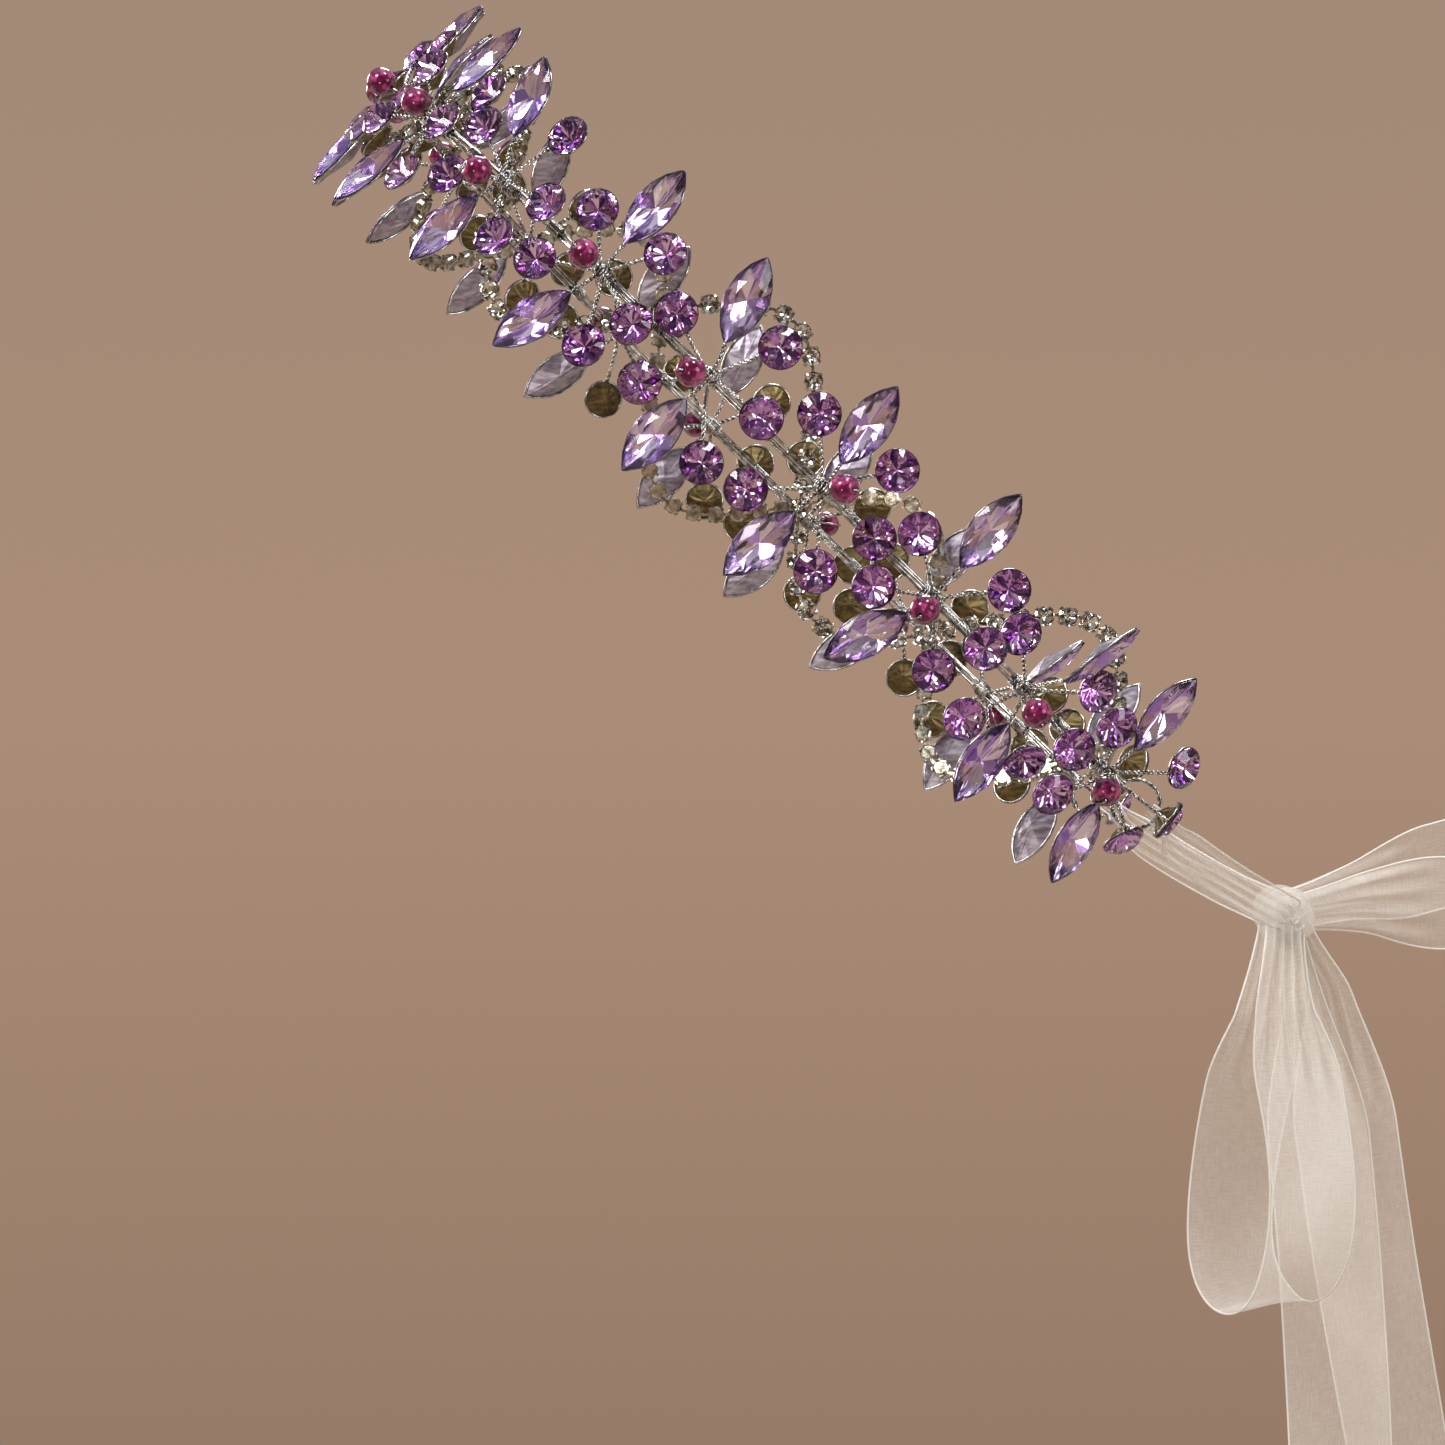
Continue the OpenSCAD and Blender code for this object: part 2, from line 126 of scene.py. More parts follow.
def lean_back(p):
    """From the head loop's own plane to the frame."""
    c, s = math.cos(BAND_TILT), math.sin(BAND_TILT)
    return np.array([p[0], p[1] * c + p[2] * s, -p[1] * s + p[2] * c])


def half_path(angle):
    """A point of the loop's left half: how far left, and how far in front."""
    c, s = math.cos(angle), math.sin(angle)
    if angle <= math.pi / 2:
        return (HEAD_HALF_W * max(s, 0) ** (2 / FRONT_SQUARE),
                WIDEST_AT + HEAD_FRONT * max(c, 0) ** (2 / FRONT_SQUARE))
    return HEAD_HALF_W * s, WIDEST_AT + HEAD_BACK * c


ANGLES = np.linspace(0, math.pi, 361)
HALF_PATH = np.array([half_path(a) for a in ANGLES])
RUN = np.concatenate([[0], np.cumsum(np.linalg.norm(np.diff(HALF_PATH, axis=0), axis=1))])


def loop_at(s):
    """A point of the loop in its own plane at distance s from the forehead, positive to the left."""
    left, front = half_path(np.interp(abs(s), RUN, ANGLES))
    return np.array([math.copysign(left, s), -front, 0.0])


def on_loop(s):
    """Origin, then the directions along the spine, across it and away from the head, in the frame."""
    d = unit(loop_at(s + 0.4) - loop_at(s - 0.4))
    return (lean_back(loop_at(s)), lean_back(d), lean_back([0, 0, 1]), lean_back([d[1], -d[0], 0]))


def at(place, x, y, z):
    """A point by its distances along a place's three directions."""
    return place[0] + x * place[1] + y * place[2] + z * place[3]


def station(k):
    """The distance along the loop of flower k: 1 is at the wearer's left end."""
    return math.copysign(STATIONS[abs(MIDDLE - k)], MIDDLE - k)


# ---- materials ----
def principled(name, **constants):
    """A new material whose Principled shader has these constants, named as its sockets are."""
    made = bpy.data.materials.new(name)
    made.use_nodes = True
    shader = made.node_tree.nodes["Principled BSDF"]
    for socket, value in constants.items():
        key = socket.replace("_", " ")
        shader.inputs[key].default_value = (*value, 1) if isinstance(value, tuple) else value
    return made, shader


def link(made, a, a_socket, b, b_socket):
    made.node_tree.links.new(a.outputs[a_socket], b.inputs[b_socket])


def shader_node(made, kind, **values):
    """A new node whose settings and input sockets have these values."""
    n = made.node_tree.nodes.new(kind)
    for key, value in values.items():
        if hasattr(n, key):
            setattr(n, key, value)
        else:
            n.inputs[key.replace("_", " ")].default_value = value
    return n


def noise(made, scale, detail=2.0, stretch=(1, 1, 1), source="Object"):
    """A noise texture; scale is in cells to the metre."""
    where = shader_node(made, "ShaderNodeTexCoord")
    fitted = shader_node(made, "ShaderNodeMapping", Scale=stretch)
    texture = shader_node(made, "ShaderNodeTexNoise", Scale=scale, Detail=detail)
    link(made, where, source, fitted, "Vector")
    link(made, fitted, "Vector", texture, "Vector")
    return texture


def ramp(made, source, socket, stops):
    """A colour ramp; stops are (place, colour) pairs."""
    n = shader_node(made, "ShaderNodeValToRGB")
    while len(n.color_ramp.elements) < len(stops):
        n.color_ramp.elements.new(0.5)
    for element, (place, colour) in zip(n.color_ramp.elements, stops):
        element.position = place
        element.color = (*colour, 1)
    link(made, source, socket, n, "Fac")
    return n


def multiplied(made, a, b):
    """A node that multiplies two nodes' colours."""
    n = shader_node(made, "ShaderNodeMix", data_type="RGBA", blend_type="MULTIPLY")
    n.inputs["Factor"].default_value = 1.0
    link(made, a, "Color", n, "A")
    link(made, b, "Color", n, "B")
    return n


def grey(v):
    return (v, v, v)


def bumped(made, shader, texture, strength, distance):
    bump = shader_node(made, "ShaderNodeBump", Strength=strength, Distance=distance)
    link(made, texture, "Fac", bump, "Height")
    link(made, bump, "Normal", shader, "Normal")


def roughened(made, shader, texture, low, high):
    spread = shader_node(made, "ShaderNodeMapRange", To_Min=low, To_Max=high)
    link(made, texture, "Fac", spread, "Value")
    link(made, spread, "Result", shader, "Roughness")


def metal(name, dark, bright, low, high, bump=0.25):
    """Plated wire: bright, with slightly duller patches and fine drawing marks."""
    made, shader = principled(name, Metallic=1.0)
    patches = noise(made, 900, 3)
    colour = ramp(made, patches, "Fac", [(0.35, dark), (0.62, bright)])
    link(made, colour, "Color", shader, "Base Color")
    roughened(made, shader, patches, low, high)
    bumped(made, shader, noise(made, 6000, 2), bump, 0.00004)
    return made


def cut_glass(name, pale, deep, ior=1.6):
    """Cut glass with painted sparkle: its tint changes from facet to facet, as the light through it would, and
    drifts a little at random across the stone.
    """
    made, shader = principled(name, Roughness=0.0, IOR=ior, Transmission_Weight=1.0)
    facet = shader_node(made, "ShaderNodeAttribute", attribute_name="facet")
    painted_sparkle = ramp(made, facet, "Fac", [(0.0, deep), (0.6, pale), (1.0, pale)])
    drift = ramp(made, noise(made, 260, 1), "Fac", [(0.35, grey(0.86)), (0.65, grey(1.0))])
    link(made, multiplied(made, painted_sparkle, drift), "Result", shader, "Base Color")
    return made


def foil(name, dark, middle, bright, roughness=0.05):
    """The mirror foil behind a stone, seen through it, with painted flashes: its facets are painted bright or
    dark as the reflections in them would be.
    """
    made, shader = principled(name, Metallic=1.0, Roughness=roughness)
    facet = shader_node(made, "ShaderNodeAttribute", attribute_name="facet")
    colour = ramp(made, facet, "Fac", [(0.12, dark), (0.45, middle), (0.85, bright)])
    link(made, colour, "Color", shader, "Base Color")
    return made


def lacquer_coat(name, thin, thick, metallic):
    """The lacquer brushed over a foil's back."""
    made, shader = principled(name, Metallic=metallic)
    brushed = noise(made, 1500, 4, stretch=(1, 0.3, 1))
    colour = ramp(made, brushed, "Fac", [(0.35, thick), (0.65, thin)])
    link(made, colour, "Color", shader, "Base Color")
    roughened(made, shader, brushed, 0.25, 0.5)
    bumped(made, shader, brushed, 0.3, 0.00005)
    return made


def bead_glass(name):
    """Dark glass, almost opaque, with lighter streaks that are painted highlights."""
    made, shader = principled(name, Roughness=0.06, IOR=1.45, Transmission_Weight=0.12)
    painted_streaks = noise(made, 900, 2, stretch=(0.25, 1, 1))
    # The two darker colours are the glass's own, varied at random; the lightest, in streaks, is a painted
    # highlight.
    colour = ramp(made, painted_streaks, "Fac", [(0.38, (0.085, 0.002, 0.03)), (0.54, (0.19, 0.006, 0.075)),
                                       (0.68, (0.48, 0.075, 0.22))])
    link(made, colour, "Color", shader, "Base Color")
    return made


def organza_cloth(name, thread, gap, thin, thick):
    """Sheer plain weave: thin and thick are how much it hides, between its threads and on its slubs."""
    made, shader = principled(name, Roughness=0.36, Sheen_Weight=0.25, Sheen_Roughness=0.3,
                              Specular_IOR_Level=0.5)
    warp = noise(made, 1, 1, stretch=(6500, 400, 1), source="UV")
    weft = noise(made, 1, 1, stretch=(400, 6500, 1), source="UV")
    warp_tone = ramp(made, warp, "Fac", [(0.3, gap), (0.7, thread)])
    weft_tone = ramp(made, weft, "Fac", [(0.3, grey(0.97)), (0.7, grey(1.0))])
    link(made, multiplied(made, warp_tone, weft_tone), "Result", shader, "Base Color")
    hides = shader_node(made, "ShaderNodeMath", operation="MULTIPLY")
    link(made, warp, "Fac", hides, 0)
    link(made, weft, "Fac", hides, 1)
    spread = shader_node(made, "ShaderNodeMapRange", From_Min=0.15, From_Max=0.36, To_Min=thin, To_Max=thick)
    link(made, hides, "Value", spread, "Value")
    link(made, spread, "Result", shader, "Alpha")
    bumped(made, shader, warp, 0.2, 0.00003)
    return made


silver = metal("silver_wire", (0.19, 0.19, 0.185), (0.68, 0.68, 0.66), 0.08, 0.24)
polished = metal("polished_setting", (0.20, 0.18, 0.14), (0.64, 0.60, 0.50), 0.10, 0.24, 0.12)
# The glasses' pale and deep colours are spread over the facets as painted sparkle.
amethyst = cut_glass("amethyst_glass", (0.98, 0.80, 0.99), (0.76, 0.50, 0.93), 1.5)
lavender = cut_glass("lavender_glass", (0.97, 0.88, 0.99), (0.70, 0.52, 0.99), 1.42)
crystal = cut_glass("crystal_glass", (0.99, 0.98, 0.96), (0.86, 0.83, 0.76))
magenta = bead_glass("magenta_glass")
# The foils' dark, middle and bright colours are painted reflections, given facet by facet: flashing facets and
# dark ones.
mirror_foil = foil("violet_foil", (0.16, 0.045, 0.26), (0.76, 0.46, 0.87), (1.0, 0.90, 1.0), 0.06)
pale_foil = foil("pale_foil", (0.56, 0.38, 0.88), (0.90, 0.78, 0.96), (1.0, 0.98, 1.0), 0.12)
champagne_foil = foil("champagne_foil", (0.14, 0.13, 0.10), (0.92, 0.90, 0.82), (1.0, 1.0, 0.97))
gold_lacquer = lacquer_coat("gold_lacquer", (0.19, 0.135, 0.045), (0.06, 0.04, 0.012), 0.6)
silver_lacquer = lacquer_coat("silver_lacquer", (0.50, 0.46, 0.52), (0.24, 0.20, 0.27), 0.8)
organza = organza_cloth("ivory_organza", (0.90, 0.87, 0.82), (0.86, 0.83, 0.77), 0.32, 0.42)
selvedge = organza_cloth("organza_selvedge", (0.94, 0.92, 0.88), (0.86, 0.83, 0.78), 0.70, 0.92)


# ---- pieces ----
class Piece:
    """The points and faces of one piece, in millimetres."""

    def __init__(self):
        self.points, self.faces, self.finish, self.smooth, self.uv, self.facet = [], [], [], [], [], []

    def add(self, points, faces, finish=0, smooth=False, uv=None, facet=None):
        """Adds a shape. finish picks one of build's materials, and facet gives the shaders a number a face."""
        start = len(self.points)
        self.points.extend(np.asarray(points, float).tolist())
        self.faces.extend([[start + i for i in f] for f in faces])
        self.finish.extend(finish if isinstance(finish, list) else [finish] * len(faces))
        self.smooth.extend([smooth] * len(faces))
        self.uv.extend(uv if uv is not None else [(0.0, 0.0)] * len(points))
        self.facet.extend(facet if facet is not None else [0.5] * len(faces))

    def build(self, name, finishes, body, slot, *replaced):
        """Makes the object. With no body, it is not attached here; the caller may attach it."""
        mesh = bpy.data.meshes.new(name)
        mesh.from_pydata([[c * MM for c in p] for p in self.points], [], self.faces)
        for material in finishes:
            mesh.materials.append(material)
        mesh.polygons.foreach_set("material_index", self.finish)
        mesh.polygons.foreach_set("use_smooth", self.smooth)
        layer = mesh.uv_layers.new(name="flat")
        corners = np.array(self.uv, np.float32)[[v for f in self.faces for v in f]]
        layer.data.foreach_set("uv", corners.ravel())
        facet = mesh.attributes.new("facet", "FLOAT", "FACE")
        facet.data.foreach_set("value", self.facet)
        mesh.update()
        piece = bpy.data.objects.new(name, mesh)
        bpy.context.scene.collection.objects.link(piece)
        if body:
            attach(piece, body)
        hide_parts(*replaced)
        return piece


def frames_along(line, closed=False):
    """Two directions square to the line at each of its points, turning as little as they can."""
    line = np.asarray(line, float)
    ahead = np.roll(line, -1, 0) - np.roll(line, 1, 0) if closed else np.gradient(line, axis=0)
    ahead /= np.linalg.norm(ahead, axis=1)[:, None]
    first = unit(np.cross(ahead[0], [0.31, 0.17, 0.93] if abs(ahead[0][2]) < 0.9 else [1, 0.2, 0]))
    one = [first]
    for d in ahead[1:]:
        v = one[-1] - d * np.dot(one[-1], d)
        one.append(v / math.sqrt(np.dot(v, v)))
    one = np.array(one)
    return one, np.cross(ahead, one)


def tube(piece, line, radius, sides=6, finish=0, closed=False):
    """A round wire along a line. An open one has flat ends."""
    line = np.asarray(line, float)
    one, two = frames_along(line, closed)
    turn = np.arange(sides) * 2 * math.pi / sides
    ring = (one[:, None, :] * np.cos(turn)[None, :, None] + two[:, None, :] * np.sin(turn)[None, :, None])
    points = (line[:, None, :] + radius * ring).reshape(-1, 3)
    n = len(line)
    faces = [[i * sides + j, i * sides + (j + 1) % sides,
              (i + 1) % n * sides + (j + 1) % sides, (i + 1) % n * sides + j]
             for i in range(n if closed else n - 1) for j in range(sides)]
    if not closed:
        faces += [list(range(sides))[::-1], [(n - 1) * sides + j for j in range(sides)]]
    piece.add(points, faces, finish, True)


def twisted_pair(piece, line, pitch=TWIST_PITCH, phase=0.0, wire_r=FINE_R, closed=False):
    """Two fine wires twisted round each other along a line of evenly spaced points."""
    line = np.asarray(line, float)
    run = np.concatenate([[0], np.cumsum(np.linalg.norm(np.diff(line, axis=0), axis=1))])
    if closed:
        length = run[-1] + np.linalg.norm(line[0] - line[-1])
        pitch = length / round(length / pitch)
    one, two = frames_along(line, closed)
    for half in (0, math.pi):
        turn = (run / pitch * 2 * math.pi + phase + half)[:, None]
        tube(piece, line + wire_r * (one * np.cos(turn) + two * np.sin(turn)), wire_r, 6, 0, closed)


def coil(piece, place, x0, x1, radius, turns, phase=0.0):
    """A winding round the spine, from x0 to x1 along it."""
    t = np.linspace(0, 1, int(turns * 14) + 2)
    a = t * turns * 2 * math.pi + phase
    tube(piece, [at(place, x0 + (x1 - x0) * u, radius * math.cos(b), SPINE_Z + radius * math.sin(b))
                 for u, b in zip(t, a)], FINE_R)


def lathe(profile, steps):
    """Points and faces of a closed profile, [radius, height] each, turned about its axis."""
    turn = np.arange(steps) * 2 * math.pi / steps
    points = [[r * math.cos(a), r * math.sin(a), z] for a in turn for r, z in profile]
    n = len(profile)
    faces = [[i * n + j, (i + 1) % steps * n + j, (i + 1) % steps * n + (j + 1) % n, i * n + (j + 1) % n]
             for i in range(steps) for j in range(n)]
    return points, faces


def placed(points, origin, x, y, z):
    """Points moved to an origin, with these directions as their axes."""
    return np.asarray(origin) + np.asarray(points, float) @ np.array([x, y, z])


# ---- reading the CAD stones ----
def solids(name):
    """The separate solids of a CAD node, each as an array of its points."""
    mesh = frame["nodes"][name].data
    points = np.array([v.co[:] for v in mesh.vertices]) / MM
    index, owner = {}, []
    for p in np.round(points, 3).tolist():
        owner.append(index.setdefault(tuple(p), len(index)))
    parent = list(range(len(index)))

    def root(i):
        while parent[i] != i:
            parent[i] = parent[parent[i]]
            i = parent[i]
        return i

    for polygon in mesh.polygons:
        first = root(owner[polygon.vertices[0]])
        for v in polygon.vertices[1:]:
            parent[root(owner[v])] = first
    groups = {}
    for p, i in index.items():
        groups.setdefault(root(i), []).append(p)
    return [np.array(g) for g in groups.values()]


def stone_frame(points):
    """A stone's girdle centre, its long direction, the direction square to it, and its face's direction."""
    middle = points.mean(0)
    _, vectors = np.linalg.eigh(np.cov((points - middle).T))
    face = vectors[:, 0]
    height = (points - middle) @ face
    side = np.linalg.norm((points - middle) - np.outer(height, face), axis=1)
    rim = side > side.max() - 0.05
    girdle = height[rim].mean()
    centre = middle + girdle * face
    if height.max() - girdle > girdle - height.min():
        face = -face
    long_way = unit(vectors[:, 2] - face * np.dot(vectors[:, 2], face))
    return centre, long_way, np.cross(face, long_way), face


# ---- cut stones ----
def cut_stone(piece, place, outline, table, crown_h, back_h, n=8, lacquered=True):
    """A brilliant cut with n main facets on any outline: outline(turn, scale) gives a point of the girdle.

    table is the flat top's share of the girdle's size. The crown, crown_h high, is glass. The pavilion behind
    it, back_h deep, is mirror foil, which may have a coat of lacquer outside."""
    def ring(count, shift, scale, z):
        return [[*outline((i + shift) * 2 * math.pi / count, scale), z] for i in range(count)]

    top, middle = ring(n, 0, table, crown_h), ring(n, 0.5, STAR, crown_h * 0.58)
    upper, lower = ring(2 * n, 0, 1, GIRDLE_HALF_T), ring(2 * n, 0, 1, -GIRDLE_HALF_T)
    back = ring(n, 0.5, 0.5, -back_h * 0.62)
    points = placed(top + middle + upper + lower + back + [[0, 0, -back_h]], *place)
    t, m, u, l, b, c = 0, n, 2 * n, 4 * n, 6 * n, 7 * n
    crown, pavilion = [list(range(n))], []
    chance = np.random.default_rng(int(abs(place[0][0] * 131 + place[0][1] * 17 + place[0][2] * 7)) + 3)
    # Painted sparkle in the crown: the table and star facets get pale tints and the facets towards the girdle
    # deep ones, varied at random, in place of the light coming through the stone.
    crown_sparkle, painted_flash = [0.95], []
    for i in range(n):
        j, before = (i + 1) % n, (i - 1) % n
        g, h, k = 2 * i, 2 * i + 1, (2 * i + 2) % (2 * n)
        crown += [[t + i, m + i, t + j], [t + i, m + before, u + g, m + i],
                  [m + i, u + g, u + h], [m + i, u + h, u + k]]
        pavilion += [[b + i, l + h, l + g], [b + i, l + k, l + h], [c, b + i, l + g, b + before]]
        crown_sparkle += [chance.uniform(0.7, 1), chance.uniform(0.4, 0.8), chance.uniform(0, 0.5),
                       chance.uniform(0, 0.5)]
        # Painted flashes on the foil: each pavilion facet gets a bright or dark tone, the kites alternately,
        # in place of the reflections it would show.
        painted_flash += [chance.uniform(0, 1), chance.uniform(0, 1),
                          (0.25, 0.75)[i % 2] + chance.uniform(-0.25, 0.25)]
    for i in range(2 * n):
        j = (i + 1) % (2 * n)
        crown.append([u + i, l + i, l + j, u + j])
        crown_sparkle.append(0.0)
    crown, pavilion = facing_out(points, crown), facing_out(points, pavilion)
    piece.add(points, crown + pavilion, [GLASS] * len(crown) + [FOIL] * len(pavilion),
              facet=crown_sparkle + painted_flash)
    if lacquered:
        centre = np.asarray(place[0])
        piece.add(centre + (points - centre) * 1.03 - 0.04 * np.asarray(place[3]), pavilion, LACQUER)


def facing_out(points, faces):
    """The same faces, wound so that they face away from the points' middle."""
    middle = np.mean(points, axis=0)
    out = []
    for f in faces:
        a, b, c = (points[v] for v in f[:3])
        out.append(f if np.dot(np.cross(b - a, c - a), np.mean(points[f], axis=0) - middle) > 0 else f[::-1])
    return out


def round_outline(turn, scale):
    return ROUND_R * scale * math.cos(turn), ROUND_R * scale * math.sin(turn)


def navette_outline(turn, scale):
    arc_r = (NAVETTE_L ** 2 + NAVETTE_W ** 2) / (4 * NAVETTE_W)
    x = NAVETTE_L / 2 * math.cos(turn)
    y = math.sqrt(arc_r ** 2 - x * x) - arc_r + NAVETTE_W / 2
    return x * scale, math.copysign(max(y, 0.0), math.sin(turn)) * scale


def crystal_outline(turn, scale):
    return CRYSTAL_R * scale * math.cos(turn), CRYSTAL_R * scale * math.sin(turn)


# ---- the flowers ----
hubs = {k: at(on_loop(station(k)), 0, 0, HUB_Z) for k in range(1, FLOWERS + 1)}


def nearest_flower(point):
    return min(hubs, key=lambda k: np.linalg.norm(hubs[k] - point))


rounds = {k: [stone_frame(p) for p in solids(f"flower_{k:02d}_round_stones")] for k in hubs}
navettes, beads = {k: [] for k in hubs}, {}
side_of = {}
for side in ("left", "front", "right"):
    for p in solids(f"navettes_{side}"):
        place = stone_frame(p)
        k = nearest_flower(place[0])
        navettes[k].append(place)
        side_of[k] = side
    for p in solids(f"beads_{side}"):
        centre = (p.min(0) + p.max(0)) / 2
        beads[nearest_flower(centre)] = centre


def stem(piece, hub, end, seed):
    """A twisted pair from the hub to a stone, with the slight bow that bending by hand leaves."""
    way = end - hub
    length = np.linalg.norm(way)
    sideways = unit(np.cross(way, [0.2, 0.4, 0.9]))
    bow = 0.35 * math.sin(seed * 2.4)
    t = np.linspace(0.04, 1, int(length / 0.13))
    line = hub + np.outer(t, way) + np.outer(bow * np.sin(t * math.pi), sideways)
    twisted_pair(piece, line, TWIST_PITCH * (1 + 0.12 * math.sin(seed * 5.1)), seed, STEM_WIRE_R)


def girdle_wire(piece, place, outline, count, start_turn, drop):
    """The loop of wire round a stone's girdle, open by a hair where the stem comes in."""
    gap = 0.06
    turn = start_turn + np.linspace(gap, 2 * math.pi - gap, count)
    tube(piece, placed([[*outline(a, 0.97), drop] for a in turn], *place), FINE_R + 0.02)


def flower_wires(k):
    piece, hub, place = Piece(), hubs[k], on_loop(station(k))
    for i, stone in enumerate(rounds[k]):
        to_hub = hub - stone[0]
        angle = math.atan2(np.dot(to_hub, stone[2]), np.dot(to_hub, stone[1]))
        near = placed([[ROUND_R * math.cos(angle), ROUND_R * math.sin(angle), ROUND_WIRE_Z]], *stone)[0]
        stem(piece, hub, near, k * 7 + i)
        girdle_wire(piece, stone, round_outline, 40, angle, ROUND_WIRE_Z)
    for i, stone in enumerate(navettes[k]):
        end = math.copysign(NAVETTE_L / 2, np.dot(hub - stone[0], stone[1]))
        stem(piece, hub, placed([[end, 0, NAVETTE_WIRE_Z]], *stone)[0], k * 7 + 5 + i)
        girdle_wire(piece, stone, navette_outline, 60, 0 if end > 0 else math.pi, NAVETTE_WIRE_Z)
    hub_winding(piece, hub, place, k)
    bead_pin(piece, hub, beads[k], -place[3])
    piece.build(f"flower_{k:02d}_wires", [silver], "vine", "silver_wire", f"flower_{k:02d}_wire")


def hub_winding(piece, hub, place, k):
    """The wire wound round the spine under a hub, and over the stems where they cross."""
    coil(piece, place, -1.5, 1.5, WINDING_R, 9, k)
    coil(piece, place, -0.8, 0.7, WINDING_R + 2 * FINE_R, 4.5, k * 2)
    turn = np.linspace(0, 2 * math.pi, 30)[:-1]
    for i in range(6):
        tilt, swing = 0.5 + 0.45 * math.sin(k * 3 + i * 1.9), i * math.pi / 3 + k
        a = unit(place[1] * math.cos(swing) + place[2] * math.sin(swing))
        b = unit(np.cross(place[3], a) * math.cos(tilt) + place[3] * math.sin(tilt))
        r = 0.85 + 0.07 * i
        tube(piece, hub + r * (np.outer(np.cos(turn), a) + np.outer(np.sin(turn), b)), FINE_R, closed=True)
    for x in (-0.45, 0.05, 0.5):
        middle, high = (SPINE_Z + HUB_Z) / 2, (HUB_Z - SPINE_Z) / 2 + 1
        tube(piece, [at(place, x + 0.25 * math.sin(a + x), 0.95 * math.cos(a), middle + high * math.sin(a))
                     for a in turn], FINE_R, closed=True)


def bead_pin(piece, hub, centre, sideways):
    """The wire through a bead's hole, which comes back under it to the hub."""
    out = unit(centre - hub)
    side = unit(sideways - out * np.dot(sideways, out))
    tube(piece, [hub + out * d for d in np.linspace(0, np.linalg.norm(centre - hub) + BEAD_R + 0.1, 12)],
         FINE_R)
    back = np.linspace(0, math.pi * 0.92, 26)
    r = BEAD_R + FINE_R + 0.05
    tube(piece, centre + r * (np.outer(np.cos(back), out) + np.outer(np.sin(back), side)), FINE_R)


def flower_rounds(k):
    piece = Piece()
    for stone in rounds[k]:
        cut_stone(piece, stone, round_outline, 0.6, 1.05, 2.05, n=10)
    piece.build(f"flower_{k:02d}_rounds", [amethyst, mirror_foil, gold_lacquer], "vine", "amethyst_stone",
                f"flower_{k:02d}_round_stones")


def navette_group(side):
    piece = Piece()
    for k in hubs:
        if side_of[k] == side:
            for stone in navettes[k]:
                cut_stone(piece, stone, navette_outline, 0.5, 1.3, 1.65)
    piece.build(f"navettes_{side}_cut", [lavender, pale_foil, silver_lacquer], "vine", "lavender_stone",
                f"navettes_{side}")


def bead_group(side):
    """Rounded barrels with a hole, which points from the hub outwards."""
    piece = Piece()
    first = math.asin(BEAD_HOLE_R / BEAD_R) + 0.06
    arc = np.linspace(first, math.pi - first, 17)
    profile = [[BEAD_R * math.sin(a) ** 0.8, 0.97 * BEAD_R * math.cos(a)] for a in arc]
    deep = BEAD_R * 0.93
    profile += [[BEAD_HOLE_R, -deep], [BEAD_HOLE_R, deep]]
    points, faces = lathe(profile, 28)
    for k in hubs:
        if side_of[k] == side:
            out = unit(beads[k] - hubs[k])
            one = unit(np.cross(out, [1, 0, 0.2]))
            piece.add(placed(points, beads[k], one, np.cross(out, one), out), faces, 0, True)
    piece.build(f"beads_{side}_glass", [magenta], "vine", "magenta_bead", f"beads_{side}")


# ---- the spine ----
def spine():
    """Five wires side by side in a slightly flattened bundle."""
    piece = Piece()
    run = np.linspace(-FERRULE_S, FERRULE_S, 420)
    places = [on_loop(s) for s in run]
    for w in range(5):
        line = []
        for s, place in zip(run, places):
            a = w * 2 * math.pi / 5 + 0.5 * math.sin(s / 17 + w)
            y, z = 1.25 * SPINE_RING_R * math.cos(a), 0.75 * SPINE_RING_R * math.sin(a)
            line.append(at(place, 0, y, SPINE_Z + z))
        tube(piece, line, 0.9 * SPINE_WIRE_R, 8)
    piece.build("spine_bundle", [silver], "vine", "silver_wire", "spine_wires")


def spine_windings():
    """One winding half-way between each two flowers."""
    piece = Piece()
    for a, b in zip(STATIONS, STATIONS[1:]):
        for side in (-1, 1):
            coil(piece, on_loop(side * (a + b) / 2), -1.2, 1.2, WINDING_R, 7.5, a)
    piece.build("spine_windings", [silver], "vine", "silver_wire", "spine_binding")


def end_loop(name, side):
    """The spine's end, wound shut, and the ring of twisted wire that the ribbon goes through."""
    piece = Piece()
    place = on_loop(side * FERRULE_S)
    coil(piece, place, -1.2, 1.6, WINDING_R, 9)
    centre = at(on_loop(side * RING_S), 0, 0, SPINE_Z)
    turn = np.linspace(0, 2 * math.pi, 150)[:-1]
    ring = [centre + [0, END_RING_R * math.cos(a), END_RING_R * math.sin(a)] for a in turn]
    twisted_pair(piece, ring, END_TWIST_PITCH, wire_r=END_WIRE_R, closed=True)
    tip = at(place, side * 0.6, 0, SPINE_Z)
    near = min(ring, key=lambda p: np.linalg.norm(p - tip))
    twisted_pair(piece, [tip + (near - tip) * t for t in np.linspace(0, 1, 30)], wire_r=END_WIRE_R)
    piece.build(f"{name}_ring", [silver], "vine", "silver_wire", name)


# ---- the cup chain ----
def wave(s):
    """How far above the spine the chain runs at s."""
    return -WAVE_H * np.sin(math.pi * s / WAVE_HALF)


CHAIN_S = np.linspace(0, VINE_HALF + 3, 241)
CHAIN_RUN = np.concatenate([[0], np.cumsum(np.hypot(np.diff(CHAIN_S), np.diff(wave(CHAIN_S))))])
CUPS = int(CHAIN_RUN[-1] / CUP_PITCH)


